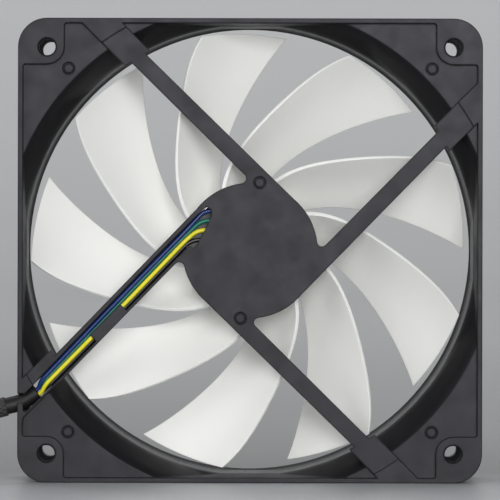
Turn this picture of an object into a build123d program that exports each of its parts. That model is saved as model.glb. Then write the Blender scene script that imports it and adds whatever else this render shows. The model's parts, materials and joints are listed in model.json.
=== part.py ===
from build123d import *
import math
import os

# A 120 mm case fan, 25 mm deep, standing on its lower edge.
# X is to the right and Z is up, seen from the exhaust side.
# The rotor turns on the Y axis. The exhaust face is at -Y, the intake at +Y.
# "Depth" is the distance in from the exhaust face, in millimetres.

# ---- Frame: square flanges joined by a round duct
SIDE = 120.0
DEPTH = 25.0
CORNER_RADIUS = 7.5
FLANGE = 4.5
RIM = 1.25                  # wall left round the edge of the exhaust face
RECESS = 1.5                # depth of the sunk floors in the corners
PAD_REACH = 11.9            # screw pad, measured from the side
PAD_CORNER = 4.5
PAD_FILLET = 0.7
HOLE_PITCH = 105.0
HOLE_DIAMETER = 4.3
HOLE_CHAMFER = 0.35
THROAT_RADIUS = 58.7
THROAT_FLAT = 58.2          # half the width across the duct's four flats
EXHAUST_MOUTH = 63.7
EXHAUST_FLARE = 10.5        # depth at which the exhaust flare meets the throat
INTAKE_MOUTH = 61.2
INTAKE_FLARE = 3.0
DUCT_WALL = 1.8
MARK_PITCH = 94.0
MARK_RADIUS = 1.6
MARK_WIDTH = 0.45
MARK_DEPTH = 0.8

# ---- Motor base and the four struts that hold it
SPIDER_DROP = 0.5           # the spider sits this far below the exhaust face
SPIDER_BACK = 4.2
BASE_RADIUS = 17.5
BASE_CUP_RADIUS = 16.4
BASE_PLATE = 2.0            # depth of the inner face of the base
NOTCH_RADIUS = 1.3
STRUT_INNER = (12.9, 12.5)  # offset from the centre line, at the base and at the duct
STRUT_OUTER = (17.45, 16.7)
CHANNEL_INNER = (11.4, 10.55)
CHANNEL_OUTER = (17.4, 16.35)
STRUT_LENGTH = 59.0
WEB = (10.8, 18.1)
WEB_START = 57.5
WEB_CREASE = 66.0
CHANNEL_WIDTH = (12.2, 16.15)     # at the base; it slants inward along the strut
CHANNEL_SLANT = 0.0175
CHANNEL_FLOOR = 3.4
TAB = (33.5, 44.7)          # stretch of the channel that the wire tab covers
TAB_REACH = 13.8
TAB_THICKNESS = 0.6
BASE_MARK_RADIUS = 17.7
BASE_MARK_ANGLES = (8.0, 188.0)

# ---- Cable exit in the left side
EXIT_DEPTH = 3.4
EXIT_HEIGHT = -39.7
EXIT_HOLE = 2.35
EXIT_WALL = 1.45
EXIT_NOTCH = (-39.4, -37.0)
POCKET_START = 60.8
POCKET = (11.3, 14.9)

# ---- Motor
BOSS_RADIUS = 5.0
TUBE_RADIUS = 3.8
BEARING_RADIUS = 3.0
SHAFT_RADIUS = 1.5
BEARING_FIT = 0.02
TUBE_END = 17.6
BEARING = (4.6, 15.6)
STACK = (8.6, 15.6)
POLE_RADIUS = 12.9
NECK_WIDTH = 5.2            # pole neck with its insulation
COIL_RADIUS = 8.2
COIL_LENGTH = 3.4
MAGNET_BORE = 13.4
YOKE_RADIUS = 15.9
YOKE_WALL = 0.8
BOARD = (3.5, 4.5)
BOARD_RADIUS = 15.7

# ---- Impeller
HUB_RADIUS = 17.2
HUB = (4.6, 23.6)
HUB_FACE = 1.6
TIP_RADIUS = (56.8, 56.2)   # at the trailing and at the leading edge
BLADES = 9
BLADE_PHASE = 27.5          # clockwise from straight up, seen from the exhaust side
# Radius, then for the trailing and the leading edge the angle from the blade's
# tip line and the depth, then the thickness
BLADE_STATIONS = (
    (16.8, -52.0, -16.5, 6.4, 20.2, 2.3),
    (26.0, -34.0, -3.4, 5.9, 20.5, 1.9),
    (36.5, -18.4, 7.6, 5.6, 20.8, 1.7),
    (47.0, -8.7, 16.0, 5.4, 21.0, 1.5),
    (58.6, 1.3, 23.7, 5.3, 21.2, 1.4),
)
CAMBER = 0.07

# ---- Wires and cord
WIRE_DIAMETER = 1.1
WIRE_NAMES = ("blue", "green", "yellow", "black")
WIRE_ALONG = (33.5, 61.8)       # past the tab, and where they leave the channel
WIRE_ACROSS = (                 # place in the channel at its start, the tab and its end
    (15.3, 15.0, 14.35),
    (14.5, 14.15, 13.55),
    (13.6, 13.05, 12.75),
    (12.75, 12.3, 11.95),
)
WIRE_DEPTH = (1.8, 2.6, 1.8, 2.72)
SLOT_ACROSS = (15.62, 14.43, 13.24, 12.05)
SLOT_DEPTH = (2.68, 2.86, 2.68, 2.86)
WIRE_RISE = (9.0, 17.0, 9.6, 10.6)     # where each has its own place in the channel
BUNDLE_STEP = 0.66          # the wires are packed two by two in the cable
PAD_ROW_X = -8.2
PAD_ROW_TOP = 10.2
PAD_ROW_STEP = 2.5
CUFF_DIAMETER = 4.3
CORD_DIAMETER = 5.0
CORD_CENTRE = 2.8 - SIDE / 2      # height of the cord's middle where it lies
HANK_RIGHT = -90.0                # middle of the folds at the fan's end of the hank
HANK_LEFT = -132.0
HANK_MIDDLE = 7.8                 # in Y
HANK_FOLD = 20.8                  # radius of the outer fold
HANK_INNER = 12.7                 # half the width of the space inside the hank
LAST_TURN = 12.0
LAST_RUNS = (3.6, 3.6, 9.0)
TIE_PLACE = -110.0
TIE_WIDTH = 4.0
TIE_THICKNESS = 0.25
TIE_TAB = 6.0

LOWER_LEFT = 225.0
FAR = 200.0


def at(depth):
    """Sketch plane at this depth, facing the exhaust side."""
    return Plane.XZ.offset(DEPTH / 2 - depth)


def slab(sketch, near, far):
    """The sketch made solid between two depths."""
    return extrude(at(far) * sketch, amount=far - near)


def ring(outer, inner, near, far):
    """A round ring about the rotor axis."""
    return slab(Circle(outer) - Circle(inner), near, far)


def disc(radius, near, far):
    """A solid disc about the rotor axis."""
    return slab(Circle(radius), near, far)


def turned(points):
    """Revolve a closed outline of (radius, depth) points about the rotor axis."""
    outline = Polyline([(r, d - DEPTH / 2) for r, d in points], close=True)
    return revolve(make_face(outline), axis=Axis.Y)


def four_corners(sketch):
    """Copies of a sketch in the upper right corner, at all four corners."""
    return [Rot(Z=90 * corner) * sketch for corner in range(4)]


# ---------------------------------------------------------------- frame

def outer_square():
    return RectangleRounded(SIDE, SIDE, CORNER_RADIUS)


def duct_profile():
    """Half outline of the air passage, flared at both ends."""
    back = DEPTH - INTAKE_FLARE
    rear = Line((0, -1), (EXHAUST_MOUTH, -1))
    lip = Line(rear @ 1, (EXHAUST_MOUTH, RECESS))
    flare = Spline(
        lip @ 1,
        (THROAT_RADIUS + 1.6, (RECESS + EXHAUST_FLARE) / 2),
        (THROAT_RADIUS, EXHAUST_FLARE),
        tangents=[(-1, 0.75), (0, 1)],
    )
    throat = Line(flare @ 1, (THROAT_RADIUS, back))
    bell = JernArc(throat @ 1, (0, 1), -7, 34)
    front = Polyline(bell @ 1, ((bell @ 1).X, DEPTH + 1), (0, DEPTH + 1), (0, -1))
    return Pos(0, -DEPTH / 2) * make_face([rear, lip, flare, throat, bell, front])


def duct_flats():
    """Square prism with drafted ends that cuts the round duct off at the sides."""
    wide = Rectangle(SIDE - 2 * RIM, SIDE - 2 * RIM)
    narrow = Rectangle(2 * THROAT_FLAT, 2 * THROAT_FLAT)
    back = DEPTH - INTAKE_FLARE
    rear = loft([at(0) * wide, at(EXHAUST_FLARE) * narrow])
    middle = slab(narrow, EXHAUST_FLARE, back)
    front = loft([at(back) * narrow, at(DEPTH) * wide])
    return slab(wide, -1, 0) + rear + middle + front + slab(wide, DEPTH, DEPTH + 1)


def air_passage():
    return revolve(duct_profile(), axis=Axis.Y) & duct_flats()


def duct_outside():
    outer = THROAT_RADIUS + DUCT_WALL + 0.2
    flare = EXHAUST_MOUTH + 1.2
    points = (
        (0, 1), (flare, 1), (flare, FLANGE), (outer + 1.2, 7.0),
        (outer, EXHAUST_FLARE), (outer, DEPTH - 1), (0, DEPTH - 1),
    )
    return turned(points) & slab(outer_square(), 0, DEPTH)


def recess_sketch():
    """Everything inside the rim of the exhaust face except the four screw pads."""
    inner = SIDE - 2 * RIM
    narrow = SIDE - 2 * PAD_REACH
    cross = Rectangle(inner, narrow) + Rectangle(narrow, inner)
    pad_corners = [v for v in cross.vertices() if abs(abs(v.X) - abs(v.Y)) < 0.01]
    cross = fillet(pad_corners, PAD_CORNER)
    rim_corners = [v for v in cross.vertices() if max(abs(v.X), abs(v.Y)) > inner / 2 - 0.01]
    return fillet(rim_corners, PAD_FILLET)


def strut_band(inner, outer, start, end):
    """A band beside the centre line, drawn along +X; offsets run towards -Y."""
    outline = Polyline(
        (start, -inner[0]), (end, -inner[1]), (end, -outer[1]), (start, -outer[0]),
        close=True,
    )
    return make_face(outline)


def web_sketch(start):
    """The wide end of one strut, from a given radius out to the rim."""
    band = strut_band((WEB[0], WEB[0]), (WEB[1], WEB[1]), 40, 90)
    return band - Circle(start)


def webs(start, near, far):
    """The four strut ends, cut off at the frame's sides."""
    sketch = Sketch() + [Rot(Z=45 + 90 * k) * web_sketch(start) for k in range(4)]
    return slab(sketch & outer_square(), near, far)


def spider_sketch():
    """Motor base and four struts, with round notches where they meet."""
    sketch = Circle(BASE_RADIUS)
    for turn in (45, 135, 315):
        sketch += Rot(Z=turn) * strut_band(STRUT_INNER, STRUT_OUTER, 0, STRUT_LENGTH)
    channel = strut_band(CHANNEL_INNER, CHANNEL_OUTER, 0, STRUT_LENGTH)
    sketch += Rot(Z=LOWER_LEFT) * channel
    notches = [v for v in sketch.vertices() if is_notch(v)]
    return fillet(notches, NOTCH_RADIUS)


def is_notch(vertex):
    """True where a strut's inner edge runs into the round base."""
    radius = math.hypot(vertex.X, vertex.Y)
    if abs(radius - BASE_RADIUS) > 0.01:
        return False
    offsets = []
    for turn in (45, 135, 225, 315):
        angle = math.radians(turn)
        along = vertex.X * math.cos(angle) + vertex.Y * math.sin(angle)
        across = vertex.X * math.sin(angle) - vertex.Y * math.cos(angle)
        offsets.append(along > 8 and 10.5 < across < 13.5)
    return any(offsets)


def spider():
    """Base plate, cup wall and struts, before the wire channel is cut."""
    sketch = spider_sketch()
    plate = slab(sketch, SPIDER_DROP, BASE_PLATE)
    walls = slab(sketch - Circle(BASE_CUP_RADIUS), SPIDER_DROP, SPIDER_BACK)
    boss = ring(BOSS_RADIUS, TUBE_RADIUS, BASE_PLATE, 6.5)
    return plate + walls + boss


def channel_sketch():
    """Wire slot in the base and the open channel along the lower left strut."""
    low, high = CHANNEL_WIDTH
    end = POCKET_START + 0.5
    slant = CHANNEL_SLANT * end
    outline = Polyline(
        (0.0, -16.1), (-0.3, -14.4), (0.8, -13.4), (3.8, -12.2), (6.6, -11.4),
        (9.2, -10.5), (10.0, -10.9), (10.2, -low + 0.18), (end, -low + slant),
        (end, -POCKET[1] + 0.5), (end + 2.2, -POCKET[1]),
        (end, -high + slant), (18.0, -high + 0.1),
        close=True,
    )
    return Rot(Z=LOWER_LEFT) * make_face(outline)


def pocket_sketch():
    """Through pocket at the end of the channel, stopped by the side wall."""
    flat = ((POCKET[0], POCKET[0]), (POCKET[1], POCKET[1]))
    band = Rot(Z=LOWER_LEFT) * strut_band(*flat, POCKET_START, 90)
    inside = Rectangle(SIDE - 2 * EXIT_WALL, SIDE)
    pocket = band & inside
    return fillet(pocket.vertices(), 0.6)


def wire_tab():
    """Lug on the channel's inner wall that holds two of the wires down."""
    flat = ((CHANNEL_INNER[0] - 0.1,) * 2, (TAB_REACH,) * 2)
    sketch = strut_band(*flat, *TAB)
    tips = [v for v in sketch.vertices() if v.Y < -TAB_REACH + 0.1]
    sketch = Rot(Z=LOWER_LEFT) * fillet(tips, 0.5)
    return slab(sketch, SPIDER_DROP, SPIDER_DROP + TAB_THICKNESS)


def exit_wall():
    """Side wall made deeper where the cable goes through it."""
    middle = EXIT_WALL / 2 - SIDE / 2
    return slab(Pos(middle, EXIT_HEIGHT) * Rectangle(EXIT_WALL, 9.0), 0, 7.2)


def exit_bore():
    """Hole for the cable, with the notch that lets it snap in from the rear."""
    route = cuff_route()
    route[0] -= (route[1] - route[0]).normalized() * 2.8
    bore = tube(route, 2 * EXIT_HOLE, [8.0])
    low, high = EXIT_NOTCH
    notch = Pos(-SIDE / 2, (low + high) / 2) * Rectangle(2 * EXIT_WALL + 0.2, high - low)
    return bore + slab(notch, -1, EXIT_DEPTH)


def ejector_marks():
    """Shallow ring marks on the corner floors and the strut roots."""
    mark = Circle(MARK_RADIUS) - Circle(MARK_RADIUS - MARK_WIDTH)
    corner = Pos(MARK_PITCH / 2, MARK_PITCH / 2) * mark
    marks = slab(Sketch() + four_corners(corner), RECESS - 0.1, RECESS + MARK_DEPTH)
    for angle in BASE_MARK_ANGLES:
        spot = Rot(Z=-angle) * (Pos(0, BASE_MARK_RADIUS) * mark)
        marks += slab(spot, SPIDER_DROP - 0.1, SPIDER_DROP + MARK_DEPTH)
    return marks


def make_housing():
    """The one-piece moulded frame: flanges, duct, struts and motor base."""
    square = outer_square()
    body = slab(square, 0, FLANGE) + slab(square, DEPTH - FLANGE, DEPTH) + duct_outside()
    body -= air_passage()
    body -= slab(recess_sketch(), -1, RECESS)
    body += webs(WEB_START, SPIDER_DROP, FLANGE)
    body += webs(WEB_CREASE, 0, SPIDER_DROP)
    body += spider()
    body += exit_wall()
    body -= slab(channel_sketch(), -1, CHANNEL_FLOOR)
    body -= slab(pocket_sketch(), -1, DEPTH + 1)
    body += wire_tab()
    body -= exit_bore()
    hole = Pos(HOLE_PITCH / 2, HOLE_PITCH / 2) * Circle(HOLE_DIAMETER / 2)
    body -= slab(Sketch() + four_corners(hole), -1, DEPTH + 1)
    body = chamfer(hole_mouths(body), HOLE_CHAMFER)
    return body - ejector_marks()


def hole_mouths(body):
    """Edges of the screw holes in the two outer faces."""
    round_edges = body.edges().filter_by(GeomType.CIRCLE)
    holes = [e for e in round_edges if abs(e.radius - HOLE_DIAMETER / 2) < 0.01]
    return [e for e in holes if abs(abs(e.center().Y) - DEPTH / 2) < 0.01]


# ---------------------------------------------------------------- bearing

def make_bearing_tube():
    return ring(TUBE_RADIUS, BEARING_RADIUS, BASE_PLATE, TUBE_END)


def make_sleeve_bearing():
    return ring(BEARING_RADIUS, SHAFT_RADIUS + BEARING_FIT, *BEARING)


def make_thrust_pad():
    return disc(BEARING_RADIUS - 0.1, BASE_PLATE, BASE_PLATE + 0.8)


def make_retaining_washer():
    return ring(BEARING_RADIUS, SHAFT_RADIUS + 0.12, 4.15, BEARING[0])


def make_oil_cap():
    return ring(BEARING_RADIUS, SHAFT_RADIUS + 0.25, TUBE_END - 0.6, TUBE_END)


def make_split_clip():
    """Split ring in the shaft's groove that keeps the rotor in."""
    gap = Pos(2, 0) * Rectangle(4, 0.7)
    return slab(Circle(2.3) - Circle(1.1) - gap, 3.35, 3.75)


def make_shaft():
    shaft = disc(SHAFT_RADIUS, BASE_PLATE + 0.85, HUB[1] - HUB_FACE)
    groove = ring(SHAFT_RADIUS + 1, 1.1, 3.3, 3.8)
    return shaft - groove


def make_oil_ring():
    return ring(2.5, SHAFT_RADIUS, 16.0, 16.6)


# ---------------------------------------------------------------- stator

def pole_sketch(neck, shoe_inner, shoe_half_angle, hub, bore):
    """Four T-shaped poles about a round hub."""
    shoe = Circle(POLE_RADIUS) - Circle(shoe_inner)
    reach = 20.0
    half = math.radians(shoe_half_angle)
    corner = (reach, reach * math.tan(half))
    wedge = make_face(Polyline((0, 0), corner, (corner[0], -corner[1]), close=True))
    pole = (shoe & wedge) + Pos(POLE_RADIUS / 2, 0) * Rectangle(POLE_RADIUS - 0.6, neck)
    sketch = Circle(hub) + [Rot(Z=90 * k) * pole for k in range(4)]
    return sketch - Circle(bore)


def make_stator_core():
    """Stack of steel laminations with four poles."""
    return slab(pole_sketch(4.2, 11.7, 38, 6.0, TUBE_RADIUS), *STACK)


def insulator(plate_near, plate_far, wall_near, wall_far):
    """Plastic end cap of the stator: a plate and the walls that hold the coils."""
    plate = slab(pole_sketch(NECK_WIDTH, 11.0, 36, 6.4, TUBE_RADIUS), plate_near, plate_far)
    tips = pole_sketch(0.5, 11.0, 30, 6.4, TUBE_RADIUS)
    walls = slab((Circle(11.8) - Circle(11.0)) & tips, wall_near, wall_far)
    collar = ring(6.4, 5.6, wall_near, wall_far)
    return plate + walls + collar


def make_rear_insulator():
    near = STACK[0] - 0.8
    return insulator(near, STACK[0], near - 2.4, near)


def make_front_insulator():
    far = STACK[1] + 0.8
    return insulator(STACK[1], far, far, far + 2.2)


def coil(index):
    """One winding, as a rounded box wound round the pole's neck."""
    middle = (STACK[0] + STACK[1]) / 2 - DEPTH / 2
    core_high = STACK[1] - STACK[0] + 1.6
    outer = Pos(COIL_RADIUS, middle, 0) * Box(COIL_LENGTH, core_high + 3.8, 9.0)
    outer = fillet(outer.edges().filter_by(Axis.X), 2.0)
    inner = Pos(COIL_RADIUS, middle, 0) * Box(2 * COIL_LENGTH, core_high, NECK_WIDTH)
    return Rot(Y=90 * index) * (outer - inner)


def make_winding_pins():
    """Four pins that carry the coil ends through the board."""
    pins = [Rot(Z=45 + 90 * k) * (Pos(7.4, 0) * Circle(0.35)) for k in range(4)]
    return slab(Sketch() + pins, BOARD[0] - 0.5, BOARD[1] + 1.4)


# ---------------------------------------------------------------- board

def make_board():
    sketch = Circle(BOARD_RADIUS) - Circle(BOSS_RADIUS + 0.4)
    for k in range(4):
        sketch -= Rot(Z=45 + 90 * k) * (Pos(7.4, 0) * Circle(0.36))
    return slab(sketch, *BOARD)


def board_part(angle, radius, wide, long, high):
    """A small rectangular part on the front of the board."""
    sketch = Rot(Z=-angle) * (Pos(0, radius) * Rectangle(wide, long))
    return slab(sketch, BOARD[1], BOARD[1] + high)


def make_driver_chip():
    return board_part(45, 14.0, 4.4, 2.6, 1.0)


def make_capacitors():
    return board_part(120, 14.0, 2.0, 1.2, 0.9) + board_part(215, 14.0, 2.0, 1.2, 0.9)


def make_diode():
    return board_part(300, 14.0, 2.4, 1.4, 0.9)


def make_lead_solder():
    """Joints of the four lead wires on the rear of the board."""
    spots = [Pos(PAD_ROW_X + 0.85, z) * Circle(0.8) for z in pad_heights()]
    return slab(Sketch() + spots, BOARD[0] - 1.1, BOARD[0])


def pad_heights():
    return [PAD_ROW_TOP - k * PAD_ROW_STEP for k in range(4)]


# ---------------------------------------------------------------- wires and cord

def channel_point(along, across, depth):
    """A point given along and across the lower left strut."""
    step = math.sqrt(0.5)
    x = -along * step - across * step
    z = -along * step + across * step
    return Vector(x, depth - DEPTH / 2, z)


def corner_radii(points):
    """The largest even bends that the runs of a route leave room for."""
    radii = []
    for before, corner, after in zip(points, points[1:], points[2:]):
        first, second = corner - before, after - corner
        half_turn = math.radians(first.get_angle(second) / 2)
        shorter = min(first.length, second.length)
        radii.append(0.45 * shorter / math.tan(half_turn))
    return radii


def tube(points, diameter, radii=None):
    """Round tube along straight runs joined by arcs."""
    points = [Vector(p) for p in points]
    if radii is None:
        radii = corner_radii(points)
    if len(points) > 2:
        route = FilletPolyline(*points, radius=radii)
    else:
        route = Line(*points)
    start = Plane(origin=route @ 0, z_dir=route % 0)
    return sweep(start * Circle(diameter / 2), path=route)


def sideways(direction):
    """Unit step to one side of a direction, in the plane of the frame."""
    return direction.cross(Vector(0, 1, 0)).normalized()


def wire_route(index):
    """From the board, through the slot, along the channel, into the cable's end."""
    height = pad_heights()[index]
    slot_x = height - SLOT_ACROSS[index] * math.sqrt(2)
    slot_y = SLOT_DEPTH[index] - DEPTH / 2
    near, middle, far = WIRE_ACROSS[index]
    depth = WIRE_DEPTH[index]
    side = -BUNDLE_STEP if index < 2 else BUNDLE_STEP
    sink = Vector(0, -BUNDLE_STEP if index in (0, 2) else BUNDLE_STEP, 0)
    mouth, wall = cuff_route()[:2]
    run = (wall - mouth).normalized()
    bend = mouth - run * 0.9 + sink
    end = mouth - run * 0.1 + sink
    return [
        Vector(PAD_ROW_X, slot_y, height),
        Vector(slot_x, slot_y, height),
        channel_point(WIRE_RISE[index], near, depth),
        channel_point(WIRE_ALONG[0], middle, depth),
        channel_point(WIRE_ALONG[1], far, depth),
        bend + sideways(run) * side,
        end + sideways(run) * side,
    ]


def cuff_route():
    """Middle line of the cable where it passes the frame's side wall."""
    inner = Vector(-55.0, EXIT_DEPTH - 0.2 - DEPTH / 2, EXIT_HEIGHT + 2.9)
    wall = Vector(-SIDE / 2 + 0.7, EXIT_DEPTH - DEPTH / 2, EXIT_HEIGHT + 0.1)
    outside = Vector(-SIDE / 2 - 3.0, EXIT_DEPTH - DEPTH / 2, EXIT_HEIGHT - 0.8)
    return [inner, wall, outside]


def make_cable_cuff():
    """Thin tube over the wires, from the pocket to just outside the wall."""
    return tube(cuff_route(), CUFF_DIAMETER, [8.0])


def cord_route():
    """From the cuff down to the floor and along the outer side of the hank."""
    wall, start = cuff_route()[1:]
    outer_y = HANK_MIDDLE - HANK_FOLD
    return [
        start,
        start + (start - wall).normalized() * 8.8,
        start + Vector(-19.5, -1.2, -7.8),
        Vector(start.X - 30.0, outer_y + 0.3, start.Z - 13.9),
        Vector(start.X - 40.5, outer_y, CORD_CENTRE),
        Vector(HANK_LEFT, outer_y, CORD_CENTRE),
    ]


def make_cord_run():
    return tube(cord_route(), CORD_DIAMETER)


def hank_outline(radius):
    """Two half circles joined by straight sides, flat on the floor."""
    left = Pos(HANK_LEFT, HANK_MIDDLE) * Circle(radius)
    right = Pos(HANK_RIGHT, HANK_MIDDLE) * Circle(radius)
    middle = Pos((HANK_LEFT + HANK_RIGHT) / 2, HANK_MIDDLE)
    return left + right + middle * Rectangle(HANK_RIGHT - HANK_LEFT, 2 * radius)


def make_cord_hank():
    """Outer shape of the put-away turns."""
    flat = hank_outline(HANK_FOLD + CORD_DIAMETER / 2) - hank_outline(HANK_INNER)
    low = CORD_CENTRE - CORD_DIAMETER / 2
    return Pos(0, 0, low) * extrude(flat, amount=CORD_DIAMETER)


def make_hank_tie():
    """Thin flat tie round the two turns on one side, with its pinched ends."""
    low = HANK_MIDDLE - HANK_FOLD - CORD_DIAMETER / 2
    high = HANK_MIDDLE - HANK_INNER
    plane = Plane(origin=(TIE_PLACE, (low + high) / 2, CORD_CENTRE), x_dir=(0, 1, 0), z_dir=(1, 0, 0))
    inner = Rectangle(high - low, CORD_DIAMETER)
    outer = offset(inner, amount=TIE_THICKNESS)
    reach = (high - low) / 2 + TIE_TAB / 2
    tab = Pos(reach, 0) * Rectangle(TIE_TAB, 2 * TIE_THICKNESS)
    return extrude(plane * (outer + tab - inner), amount=TIE_WIDTH / 2, both=True)


def cord_end_route():
    """The last of the cord, turning in from the inner turn of the hank."""
    points = [Vector(HANK_LEFT, HANK_MIDDLE + HANK_INNER + CORD_DIAMETER / 2, CORD_CENTRE)]
    heading = -LAST_TURN / 2
    for length in LAST_RUNS:
        run = Vector(length, 0, 0).rotate(Axis.Z, heading)
        points.append(points[-1] + run)
        heading -= LAST_TURN
    return points


def make_cord_end():
    return tube(cord_end_route(), CORD_DIAMETER)


def far_frame():
    """End of the cord and its direction, for the pieces beyond it."""
    route = cord_end_route()
    return route[-1], (route[-1] - route[-2]).normalized()


def make_end_cuff():
    """Shrunk tube at the far end of the cord."""
    end, run = far_frame()
    return tube([end, end + run * 5.0], CORD_DIAMETER + 0.1)


def connector_frame():
    """Middle of the connector's wire side, and the way that it points."""
    end, run = far_frame()
    return end + run * 13.5, run


def make_tail_wires():
    """Four bare wires spreading between the cord's end and the connector."""
    end, run = far_frame()
    goal, _ = connector_frame()
    side = run.cross(Vector(0, 0, 1)).normalized()
    wires = Part()
    for k in range(4):
        near = end + run * 5.0 + side * (1.2 * (k - 1.5))
        far = goal + side * (2.54 * (k - 1.5)) - run * 0.05
        wires += tube([near, near + run * 2.5, far - run * 2.0, far], WIRE_DIAMETER - 0.1)
    return wires


def make_connector():
    """Four-way female plug with its two guide ribs and terminal holes."""
    goal, point = connector_frame()
    side = point.cross(Vector(0, 0, 1)).normalized()
    frame = Plane(origin=goal, x_dir=side, z_dir=point)
    body = extrude(frame * Rectangle(10.6, 5.0), amount=12.0)
    ribs = Pos(-2.54, -2.9) * Rectangle(1.2, 1.0) + Pos(2.54, -2.9) * Rectangle(1.2, 1.0)
    body += extrude(frame * ribs, amount=9.0)
    holes = [Pos(2.54 * (k - 1.5), 0) * Rectangle(1.4, 1.4) for k in range(4)]
    mouth = frame.offset(12.0)
    return body - extrude(mouth * (Sketch() + holes), amount=-7.0)


# ---------------------------------------------------------------- rotor

def blade_section(station):
    """One closed blade section, on a flat plane across the blade."""
    radius, trailing, leading, rear, front, thickness = station
    half_angle = math.radians((leading - trailing) / 2)
    middle = math.radians((leading + trailing) / 2)
    half_chord = radius * math.sin(half_angle)
    distance = radius * math.cos(half_angle)
    out = Vector(math.sin(middle), 0, math.cos(middle))
    along = Vector(math.cos(middle), 0, -math.sin(middle))
    plane = Plane(origin=out * distance, x_dir=along, z_dir=out)
    start = Vector(-half_chord, rear - DEPTH / 2)
    end = Vector(half_chord, front - DEPTH / 2)
    chord = end - start
    normal = Vector(-chord.Y, chord.X).normalized()
    upper, lower = [], []
    for step in range(7):
        s = step / 6
        bow = 4 * CAMBER * chord.length * s * (1 - s)
        half = thickness / 2 * (1 - 0.45 * abs(2 * s - 1) ** 3)
        mean = start + chord * s + normal * bow
        upper.append(mean + normal * half)
        lower.append(mean - normal * half)
    top = Spline(*upper)
    bottom = Spline(*lower)
    tips = [Line(upper[0], lower[0]), Line(upper[-1], lower[-1])]
    return plane * make_face([top, bottom] + tips)


def make_blade():
    blade = loft([blade_section(station) for station in BLADE_STATIONS])
    root = YOKE_RADIUS + 0.6
    reach = turned([(root, 0), (TIP_RADIUS[0], 0), (TIP_RADIUS[0], 5), (TIP_RADIUS[1], 21),
                    (TIP_RADIUS[1], DEPTH), (root, DEPTH)])
    return Rot(Y=BLADE_PHASE) * (blade & reach)


def make_impeller():
    """Moulded hub with nine blades."""
    hub = disc(HUB_RADIUS, *HUB)
    front_edge = hub.edges().sort_by(Axis.Y)[-1]
    hub = fillet(front_edge, 1.6)
    hub -= disc(YOKE_RADIUS, HUB[0] - 1, HUB[1] - HUB_FACE)
    blade = make_blade()
    for k in range(BLADES):
        hub += Rot(Y=360 / BLADES * k) * blade
    return hub


def make_yoke():
    """Steel cup inside the hub that carries the magnet."""
    near, far = 5.6, HUB[1] - HUB_FACE
    cup = disc(YOKE_RADIUS, near, far) - disc(YOKE_RADIUS - YOKE_WALL, near - 1, far - YOKE_WALL)
    return cup - disc(2.4, near, far + 1)


def make_magnet():
    return ring(YOKE_RADIUS - YOKE_WALL, MAGNET_BORE, 6.6, 19.4)


def make_shaft_bush():
    """Brass bush pressed into the yoke, holding the shaft."""
    far = HUB[1] - HUB_FACE
    flange = ring(3.6, SHAFT_RADIUS, 19.4, far - YOKE_WALL)
    neck = ring(2.4, SHAFT_RADIUS, far - YOKE_WALL, far)
    return flange + neck


# ---------------------------------------------------------------- all pieces

def all_nodes():
    nodes = {
        "housing": make_housing(),
        "bearing_tube": make_bearing_tube(),
        "sleeve_bearing": make_sleeve_bearing(),
        "thrust_pad": make_thrust_pad(),
        "retaining_washer": make_retaining_washer(),
        "oil_cap": make_oil_cap(),
        "stator_core": make_stator_core(),
        "rear_insulator": make_rear_insulator(),
        "front_insulator": make_front_insulator(),
        "winding_pins": make_winding_pins(),
        "circuit_board": make_board(),
        "driver_chip": make_driver_chip(),
        "capacitors": make_capacitors(),
        "diode": make_diode(),
        "lead_solder": make_lead_solder(),
        "cable_cuff": make_cable_cuff(),
        "cord_run": make_cord_run(),
        "cord_hank": make_cord_hank(),
        "hank_tie": make_hank_tie(),
        "cord_end": make_cord_end(),
        "end_cuff": make_end_cuff(),
        "tail_wires": make_tail_wires(),
        "connector": make_connector(),
        "impeller": make_impeller(),
        "rotor_yoke": make_yoke(),
        "rotor_magnet": make_magnet(),
        "shaft_bush": make_shaft_bush(),
        "shaft": make_shaft(),
        "oil_ring": make_oil_ring(),
        "split_clip": make_split_clip(),
    }
    for index in range(4):
        nodes[f"coil_{index + 1}"] = coil(index)
    for index, name in enumerate(WIRE_NAMES):
        nodes[f"wire_{name}"] = tube(wire_route(index), WIRE_DIAMETER)
    return nodes


def main():
    os.makedirs("parts", exist_ok=True)
    print("cord bend radii", [round(r, 1) for r in corner_radii(cord_route())])
    print("cord end radii", [round(r, 1) for r in corner_radii(cord_end_route())])
    for name, shape in all_nodes().items():
        export_step(shape, f"parts/{name}.step")
        print(name, len(shape.solids()), round(shape.volume, 2), shape.is_valid)


main()
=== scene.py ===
import json
import math

import bpy
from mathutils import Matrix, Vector


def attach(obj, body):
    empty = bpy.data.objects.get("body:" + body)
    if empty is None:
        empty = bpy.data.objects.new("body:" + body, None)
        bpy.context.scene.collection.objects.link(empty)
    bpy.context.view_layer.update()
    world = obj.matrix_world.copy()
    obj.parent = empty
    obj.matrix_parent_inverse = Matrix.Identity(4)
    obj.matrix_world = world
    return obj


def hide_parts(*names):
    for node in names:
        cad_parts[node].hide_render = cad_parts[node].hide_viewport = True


# The looks of a 120 mm case fan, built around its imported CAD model.
# X is to the right and Z up, seen from the exhaust side, which faces -Y.
# All sizes are in metres, and the floor is at the fan's lower edge.

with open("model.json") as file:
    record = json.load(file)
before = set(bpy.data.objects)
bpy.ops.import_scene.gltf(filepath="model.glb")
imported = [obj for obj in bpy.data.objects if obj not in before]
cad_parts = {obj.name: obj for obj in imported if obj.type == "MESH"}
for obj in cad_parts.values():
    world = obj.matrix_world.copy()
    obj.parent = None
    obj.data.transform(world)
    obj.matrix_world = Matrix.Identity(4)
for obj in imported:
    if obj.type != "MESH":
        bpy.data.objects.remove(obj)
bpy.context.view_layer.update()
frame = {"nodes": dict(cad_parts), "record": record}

MM = 0.001
HALF_SIDE = 0.060
FLOOR = -HALF_SIDE

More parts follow.
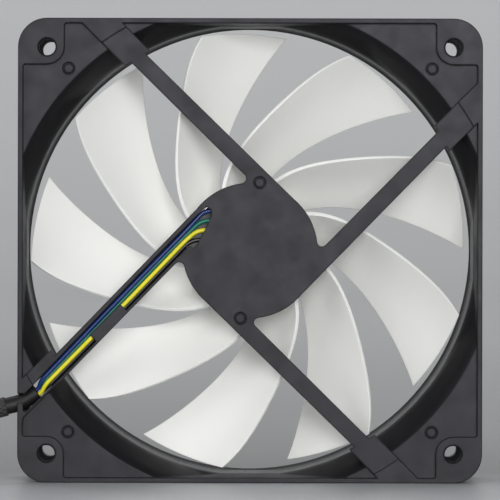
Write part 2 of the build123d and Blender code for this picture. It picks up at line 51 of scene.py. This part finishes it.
# ---- Camera
CAMERA_PLACE = (-0.00508, -0.9875, 0.01476)
CAMERA_ROLL = math.radians(0.13)
FOCAL_LENGTH = 272.0
SENSOR = 36.0
SHIFT = (0.039, -0.1132)

# ---- Cord: the route's points are those of the CAD model
CORD_DIAMETER = 5.0 * MM
CORD_EXIT = (-0.0630, -0.0091, -0.0405)
CORD_LENGTH = 0.341
CORD_HEIGHT = 2.8 * MM + FLOOR
RUN_POINTS = (
    CORD_EXIT,
    (-0.07155, -0.0091, -0.04258),
    (-0.0825, -0.0103, -0.0483),
    (-0.0930, -0.0127, -0.0544),
    (-0.1035, -0.0130, CORD_HEIGHT),
)
HANK_RIGHT = -0.0900
HANK_LEFT = -0.1320
FOLDS = (
    # middle of the fold in X and Y, radius, and the angle at which the cord enters it
    (HANK_LEFT, 0.0078, 20.8 * MM, -90),
    (HANK_RIGHT, 0.0106, 18.0 * MM, 90),
    (HANK_LEFT, 0.0078, 15.2 * MM, -90),
)
STEPS_PER_FOLD = 8
LAST_TURN = 12.0
LAST_RUNS = (3.6 * MM, 3.6 * MM, 9.0 * MM)


# ---------------------------------------------------------------- camera

def make_camera():
    data = bpy.data.cameras.new("camera")
    data.lens = FOCAL_LENGTH
    data.sensor_width = SENSOR
    data.shift_x, data.shift_y = SHIFT
    data.dof.use_dof = False
    camera = bpy.data.objects.new("camera", data)
    camera.location = CAMERA_PLACE
    camera.rotation_mode = "ZXY"
    camera.rotation_euler = (math.radians(90), 0, CAMERA_ROLL)
    bpy.context.scene.collection.objects.link(camera)
    bpy.context.scene.camera = camera


# ---------------------------------------------------------------- cord

def fold_points(middle_x, middle_y, radius, entry):
    """Control points round one half turn, clockwise seen from above."""
    reach = radius / math.cos(math.radians(90 / STEPS_PER_FOLD))
    points = []
    for step in range(STEPS_PER_FOLD + 1):
        angle = math.radians(entry - 180 * step / STEPS_PER_FOLD)
        x = middle_x + reach * math.cos(angle)
        y = middle_y + radius * math.sin(angle)
        points.append(Vector((x, y, CORD_HEIGHT)))
    return points


def hank_points():
    """The put-away turns, each inside the one before."""
    return [point for fold in FOLDS for point in fold_points(*fold)]


def end_points(start):
    """The last of the cord, turning in from the inner turn."""
    points = [start]
    heading = -LAST_TURN / 2
    for length in LAST_RUNS:
        angle = math.radians(heading)
        step = Vector((math.cos(angle), math.sin(angle), 0)) * length
        points.append(points[-1] + step)
        heading -= LAST_TURN
    return points[1:]


def nurbs_curve(name, points, radius):
    """A round tube along a smooth open spline with these control points."""
    curve = bpy.data.curves.new(name, "CURVE")
    curve.dimensions = "3D"
    curve.bevel_depth = radius
    curve.bevel_resolution = 6
    curve.use_fill_caps = True
    curve.resolution_u = 8
    spline = curve.splines.new("NURBS")
    spline.points.add(len(points) - 1)
    for control, point in zip(spline.points, points):
        control.co = (*point, 1.0)
    spline.order_u = 3
    spline.use_endpoint_u = True
    piece = bpy.data.objects.new(name, curve)
    bpy.context.scene.collection.objects.link(piece)
    return piece


def make_cord(sleeve):
    points = [Vector(p) for p in RUN_POINTS] + hank_points()
    points += end_points(points[-1])
    cord = nurbs_curve("sleeved_cord", points, CORD_DIAMETER / 2)
    cord.data.materials.append(sleeve)
    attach(cord, "frame")
    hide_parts("cord_run", "cord_hank", "cord_end")


# ---------------------------------------------------------------- materials

# The exhaust face is at y = -12.5 mm, and the sunk corners 1.5 mm in. Between the
# first two depths the satin of those faces gives way to painted shade, a darkened colour, on the
# duct's flare, and between the other two that gives way to the polish of its throat.
FLARE_DEPTHS = (-10.95 * MM, -10.6 * MM)
THROAT_DEPTHS = (-2.1 * MM, -1.6 * MM)
# The polish ends between these distances from the rotor axis.
THROAT_RADII = (58.9 * MM, 59.3 * MM)
# Painted shade: the satin's colour is scaled down by this on the duct's flare.
FLARE_SHADE = 0.55       # of the satin's colour
THROAT_POLISH = 0.65    # of the satin's roughness
BRAID_PITCH = 1.3 * MM
BRAID_STRANDS = 12.0
WINDING_PITCH = 1.4 * MM


def new_material(name):
    material = bpy.data.materials.new(name)
    material.use_nodes = True
    return material


def shader(material):
    return material.node_tree.nodes["Principled BSDF"]


def add(material, kind, inputs=None, **settings):
    """A new node. Inputs are numbers, colours, or the sockets that feed them."""
    node = material.node_tree.nodes.new(kind)
    for key, value in settings.items():
        setattr(node, key, value)
    for key, value in (inputs or {}).items():
        if isinstance(value, bpy.types.NodeSocket):
            material.node_tree.links.new(value, node.inputs[key])
        else:
            node.inputs[key].default_value = value
    return node


def join(material, source, target):
    material.node_tree.links.new(source, target)


def place(material):
    """Place in the row frame, which every piece's own frame matches."""
    return add(material, "ShaderNodeTexCoord").outputs["Object"]


def noise(material, vector, size, detail=3.0):
    """Soft noise from 0 to 1, with patches about this many metres across."""
    inputs = {"Vector": vector, "Scale": 1 / size, "Detail": detail, "Roughness": 0.55}
    return add(material, "ShaderNodeTexNoise", inputs).outputs["Fac"]


def spread(material, value, low, high, start=0.3, end=0.7):
    """The value's middle range stretched to low..high."""
    inputs = {"Value": value, "From Min": start, "From Max": end, "To Min": low, "To Max": high}
    return add(material, "ShaderNodeMapRange", inputs).outputs["Result"]


def blend_colours(material, factor, first, second):
    node = add(material, "ShaderNodeMix", data_type="RGBA")
    for socket, value in ((node.inputs[6], first), (node.inputs[7], second)):
        if isinstance(value, bpy.types.NodeSocket):
            join(material, value, socket)
        else:
            socket.default_value = (*value, 1.0)
    if isinstance(factor, bpy.types.NodeSocket):
        join(material, factor, node.inputs[0])
    else:
        node.inputs[0].default_value = factor
    return node.outputs[2]


def math_node(material, operation, first, second):
    return add(material, "ShaderNodeMath", {0: first, 1: second}, operation=operation).outputs[0]


def soft_edges(material, radius):
    """Normals that round off hard edges by this radius."""
    return add(material, "ShaderNodeBevel", {"Radius": radius}, samples=6).outputs["Normal"]


def edge_wear(material, rounded):
    """1 on an edge and 0 on flat faces, from how far rounding turns the normal."""
    flat = add(material, "ShaderNodeNewGeometry").outputs["Normal"]
    inputs = {0: flat, 1: rounded}
    straight = add(material, "ShaderNodeVectorMath", inputs, operation="DOT_PRODUCT")
    return spread(material, straight.outputs["Value"], 1.0, 0.0, 0.72, 0.98)


def bump(material, height, strength, distance, normal=None):
    inputs = {"Height": height, "Strength": strength, "Distance": distance}
    if normal is not None:
        inputs["Normal"] = normal
    return add(material, "ShaderNodeBump", inputs).outputs["Normal"]


def scaled(colour, factor):
    return tuple(min(1.0, c * factor) for c in colour)


def moulded(name, colour, roughness, grain=0.25 * MM, relief=0.02 * MM, edge=0.2 * MM,
            wear=1.5, variation=0.08, specular=0.5):
    """Moulded plastic: fine surface grain, faint flow patches and rubbed edges."""
    material = new_material(name)
    bsdf = shader(material)
    here = place(material)
    patches = noise(material, here, 14 * MM)
    fine = noise(material, here, grain, 4.0)
    darker, lighter = scaled(colour, 1 - variation), scaled(colour, 1 + variation)
    base = blend_colours(material, patches, darker, lighter)
    rounded = soft_edges(material, edge)
    broken_up = spread(material, fine, 0.3, 1.0)
    worn = math_node(material, "MULTIPLY", edge_wear(material, rounded), broken_up)
    base = blend_colours(material, worn, base, scaled(colour, wear))
    join(material, base, bsdf.inputs["Base Color"])
    rough = spread(material, noise(material, here, 5 * MM), roughness - 0.05, roughness + 0.05)
    join(material, rough, bsdf.inputs["Roughness"])
    join(material, bump(material, fine, 0.6, relief, rounded), bsdf.inputs["Normal"])
    bsdf.inputs["Specular IOR Level"].default_value = specular
    return material


def metal(name, colour, roughness, streaks=0.3 * MM, edge=0.1 * MM):
    """Metal with fine tool marks round the rotor axis and slight tarnish."""
    material = new_material(name)
    bsdf = shader(material)
    here = place(material)
    tarnish = noise(material, here, 4 * MM)
    base = blend_colours(material, tarnish, scaled(colour, 0.82), scaled(colour, 1.08))
    join(material, base, bsdf.inputs["Base Color"])
    stretched = add(material, "ShaderNodeMapping", {"Vector": here, "Scale": (1.0, 12.0, 1.0)})
    marks = noise(material, stretched.outputs["Vector"], streaks, 2.0)
    rough = spread(material, marks, roughness - 0.08, roughness + 0.1)
    join(material, rough, bsdf.inputs["Roughness"])
    rounded = soft_edges(material, edge)
    join(material, bump(material, marks, 0.3, 0.01 * MM, rounded), bsdf.inputs["Normal"])
    bsdf.inputs["Metallic"].default_value = 1.0
    return material


def axis_distance(material, spot):
    """Distance from the rotor axis, which is the Y axis."""
    flat = {"X": spot["X"], "Y": spot["Z"]}
    across = add(material, "ShaderNodeCombineXYZ", flat).outputs[0]
    return add(material, "ShaderNodeVectorMath", {0: across}, operation="LENGTH").outputs["Value"]


def black_plastic():
    """The frame's matt black, with a faint violet cast in its shine and painted shade on the
    duct's flare.
    """
    material = moulded("frame_plastic", (0.009, 0.009, 0.010), 0.45, relief=0.03 * MM,
                       edge=0.5 * MM, wear=1.1, variation=0.02, specular=0.21)
    bsdf = shader(material)
    bsdf.inputs["Specular Tint"].default_value = (0.93, 0.91, 1.0, 1.0)
    spot = add(material, "ShaderNodeSeparateXYZ", {"Vector": place(material)}).outputs
    # Painted shade: the colour is darkened on the duct's flare, beyond the first depths.
    flare = spread(material, spot["Y"], 1.0, FLARE_SHADE, *FLARE_DEPTHS)
    flare_shaded_colour = add(material, "ShaderNodeVectorMath", operation="SCALE")
    join(material, bsdf.inputs["Base Color"].links[0].from_socket, flare_shaded_colour.inputs[0])
    join(material, flare, flare_shaded_colour.inputs["Scale"])
    join(material, flare_shaded_colour.outputs["Vector"], bsdf.inputs["Base Color"])
    satin = bsdf.inputs["Roughness"].links[0].from_socket
    polished = math_node(
        material, "MULTIPLY",
        spread(material, spot["Y"], 0.0, 1.0, *THROAT_DEPTHS),
        spread(material, axis_distance(material, spot), 1.0, 0.0, *THROAT_RADII),
    )
    factor = spread(material, polished, 1.0, THROAT_POLISH, 0.0, 1.0)
    join(material, math_node(material, "MULTIPLY", satin, factor), bsdf.inputs["Roughness"])
    return material


def blade_plastic():
    """White moulded plastic that lets a little light into its thin edges."""
    material = moulded("blade_plastic", (0.80, 0.80, 0.775), 0.38, grain=0.3 * MM,
                       relief=0.012 * MM, edge=0.35 * MM, wear=1.04, variation=0.015)
    bsdf = shader(material)
    bsdf.inputs["Subsurface Weight"].default_value = 0.12
    bsdf.inputs["Subsurface Radius"].default_value = (1.0, 0.95, 0.85)
    bsdf.inputs["Subsurface Scale"].default_value = 1.2 * MM
    return material


def insulated_wire(name, colour):
    """Soft insulation with a faint gloss and slight unevenness."""
    material = moulded(name, colour, 0.35, grain=0.6 * MM, relief=0.03 * MM, edge=0.1 * MM,
                       wear=1.1, variation=0.12, specular=0.35)
    bsdf = shader(material)
    bsdf.inputs["Coat Weight"].default_value = 0.1
    bsdf.inputs["Coat Roughness"].default_value = 0.2
    return material


def strand_waves(material, operation, along, around):
    """One set of strands, winding one way round the cord."""
    turns = math_node(material, operation, along, around)
    angle = math_node(material, "MULTIPLY", turns, math.tau)
    return math_node(material, "SINE", angle, 0.0)


def braided_sleeve(name, colour):
    """Fine over-and-under braid of dark yarn along the cord, with painted shade between the
    strands.
    """
    material = new_material(name)
    bsdf = shader(material)
    across = add(material, "ShaderNodeTexCoord").outputs["UV"]
    parts = add(material, "ShaderNodeSeparateXYZ", {"Vector": across})
    along = math_node(material, "MULTIPLY", parts.outputs["X"], CORD_LENGTH / BRAID_PITCH)
    around = math_node(material, "MULTIPLY", parts.outputs["Y"], BRAID_STRANDS)
    weave = math_node(
        material, "MAXIMUM",
        strand_waves(material, "ADD", along, around),
        strand_waves(material, "SUBTRACT", along, around),
    )
    yarn = noise(material, place(material), 0.3 * MM, 3.0)
    # Painted shade: the colour darkens where the weave is low, between the strands.
    height = spread(material, weave, 0.0, 1.0, -0.6, 1.0)
    base = blend_colours(material, height, scaled(colour, 0.35), scaled(colour, 1.2))
    base = blend_colours(material, spread(material, yarn, 0.0, 0.5), base, scaled(colour, 1.6))
    join(material, base, bsdf.inputs["Base Color"])
    join(material, bump(material, weave, 0.8, 0.15 * MM), bsdf.inputs["Normal"])
    bsdf.inputs["Roughness"].default_value = 0.62
    bsdf.inputs["Sheen Weight"].default_value = 0.05
    bsdf.inputs["Sheen Roughness"].default_value = 0.5
    return material


def wound_copper():
    """Enamelled wire lying side by side round each pole."""
    material = metal("copper", (0.72, 0.30, 0.13), 0.28)
    bsdf = shader(material)
    inputs = {"Vector": place(material), "Scale": 1 / WINDING_PITCH, "Distortion": 0.4}
    rows = add(material, "ShaderNodeTexWave", inputs, bands_direction="Y", wave_profile="SIN")
    join(material, bump(material, rows.outputs["Fac"], 1.0, 0.1 * MM), bsdf.inputs["Normal"])
    bsdf.inputs["Coat Weight"].default_value = 0.6
    bsdf.inputs["Coat Roughness"].default_value = 0.2
    return material


MATERIALS = {
    "frame_plastic": black_plastic(),
    "blade_plastic": blade_plastic(),
    "brass": metal("brass", (0.78, 0.57, 0.27), 0.32),
    "bronze": metal("bronze", (0.60, 0.40, 0.22), 0.45),
    "steel": metal("steel", (0.62, 0.61, 0.60), 0.28),
    "core_steel": metal("core_steel", (0.30, 0.30, 0.32), 0.5),
    "nylon": moulded("nylon", (0.75, 0.74, 0.68), 0.45, wear=1.05),
    "insulator": moulded("insulator", (0.62, 0.60, 0.52), 0.5, wear=1.1),
    "magnet": moulded("magnet", (0.05, 0.048, 0.046), 0.6, grain=0.5 * MM, relief=0.04 * MM),
    "copper": wound_copper(),
    "board": moulded("board", (0.012, 0.014, 0.013), 0.45, grain=0.5 * MM, specular=0.3),
    "chip": moulded("chip", (0.02, 0.02, 0.022), 0.5),
    "solder": metal("solder", (0.70, 0.70, 0.71), 0.35),
    "wire_blue": insulated_wire("wire_blue", (0.004, 0.022, 0.13)),
    "wire_green": insulated_wire("wire_green", (0.001, 0.12, 0.085)),
    "wire_yellow": insulated_wire("wire_yellow", (0.62, 0.56, 0.015)),
    "wire_black": insulated_wire("wire_black", (0.008, 0.008, 0.009)),
    "sleeve": braided_sleeve("sleeve", (0.014, 0.0115, 0.011)),
    "shrink": moulded("shrink", (0.009, 0.0075, 0.0075), 0.45, grain=0.8 * MM, relief=0.08 * MM,
                      specular=0.25),
    "connector": moulded("connector", (0.025, 0.025, 0.026), 0.45, wear=1.6),
    "tie": moulded("tie", (0.02, 0.02, 0.02), 0.4, wear=1.3),
}


def paint_nodes():
    """Every CAD node gets the material of its slot in the record."""
    for row in frame["record"]["subparts"]:
        piece = frame["nodes"][row["node"]]
        piece.data.materials.clear()
        piece.data.materials.append(MATERIALS[row["material_slot"]])


# ---------------------------------------------------------------- surroundings

SWEEP_SIZES = (6.0, -3.0, 2.6, 0.8, 3.0)     # width, front, wall, radius of the bend, height
SWEEP_STEPS = 16


def make_floor():
    """A plain pale sweep: flat floor, then a wide curve up into a wall."""
    width, near, far, bend, height = SWEEP_SIZES
    profile = [(near, FLOOR), (0.0, FLOOR), (far - bend, FLOOR)]
    for step in range(1, SWEEP_STEPS + 1):
        angle = math.radians(90 * step / SWEEP_STEPS)
        y = far - bend + bend * math.sin(angle)
        profile.append((y, FLOOR + bend - bend * math.cos(angle)))
    profile.append((far, height))
    vertices = [(x, y, z) for x in (-width / 2, width / 2) for y, z in profile]
    count = len(profile)
    faces = [(k, k + 1, count + k + 1, count + k) for k in range(count - 1)]
    mesh = bpy.data.meshes.new("backdrop")
    mesh.from_pydata(vertices, [], faces)
    mesh.polygons.foreach_set("use_smooth", [True] * len(faces))
    mesh.materials.append(floor_material())
    backdrop = bpy.data.objects.new("backdrop", mesh)
    bpy.context.scene.collection.objects.link(backdrop)


PAPER_SHADE_TONES = (
    # distance behind the fan's middle, and the grey there: the paper's tone with painted shadow
    # behind the fan and painted light up the wall
    (-0.35, 0.45),
    (-0.035, 0.49),
    (0.025, 0.225),
    (0.20, 0.30),
    (0.95, 0.41),
    (1.65, 0.47),
    (2.10, 0.53),
    (2.40, 0.61),
)


def floor_material():
    """Pale paper, a little darker behind the fan than in front and on the wall: painted shadow
    behind the fan and painted light up the wall.
    """
    material = new_material("backdrop_paper_painted_shade")
    bsdf = shader(material)
    here = place(material)
    nearest, furthest = PAPER_SHADE_TONES[0][0], PAPER_SHADE_TONES[-1][0]
    depth = add(material, "ShaderNodeSeparateXYZ", {"Vector": here}).outputs["Y"]
    depth = spread(material, depth, 0.0, 1.0, nearest, furthest)
    # Painted shadow and light: the grey follows the distance behind the fan.
    ramp = add(material, "ShaderNodeValToRGB", {"Fac": depth})
    stops = ramp.color_ramp.elements
    while len(stops) < len(PAPER_SHADE_TONES):
        stops.new(0.5)
    for stop, (distance, grey) in zip(stops, PAPER_SHADE_TONES):
        stop.position = (distance - nearest) / (furthest - nearest)
        blue = 1.06 if distance < 0 else 1.01
        stop.color = (grey, grey * (1 + blue) / 2, grey * blue, 1.0)
    fibres = noise(material, here, 2 * MM)
    flecks = spread(material, fibres, 0.0, 0.04)
    base = blend_colours(material, flecks, ramp.outputs["Color"], (0.8, 0.8, 0.8))
    join(material, base, bsdf.inputs["Base Color"])
    bsdf.inputs["Roughness"].default_value = 0.4
    return material


def area_light(name, place_at, target, size, power):
    data = bpy.data.lights.new(name, "AREA")
    data.shape = "RECTANGLE"
    data.size, data.size_y = size
    data.energy = power
    light = bpy.data.objects.new(name, data)
    light.location = place_at
    direction = Vector(target) - Vector(place_at)
    light.rotation_euler = direction.to_track_quat("-Z", "Y").to_euler()
    light.visible_camera = False
    bpy.context.scene.collection.objects.link(light)


# name, place, target, size, power
LIGHTS = (
    ("front_softbox", (0.15, -1.6, 0.30), (0, 0, 0), (0.9, 0.7), 22),
    ("left_softbox", (-1.1, -0.9, 0.5), (0, 0, 0), (0.9, 0.9), 6),
    ("background_light", (0.0, 0.9, 2.2), (0, 1.9, 0.0), (2.5, 1.0), 27),
)
SURROUND = (0.95, 0.97, 1.0, 1.0)
SURROUND_STRENGTH = 0.25


def make_lights():
    for light in LIGHTS:
        area_light(*light)
    world = bpy.data.worlds.new("studio")
    world.use_nodes = True
    background = world.node_tree.nodes["Background"]
    background.inputs["Color"].default_value = SURROUND
    background.inputs["Strength"].default_value = SURROUND_STRENGTH
    bpy.context.scene.world = world
    bpy.context.scene.view_settings.view_transform = "Standard"


make_camera()
make_cord(MATERIALS["sleeve"])
paint_nodes()
make_floor()
make_lights()
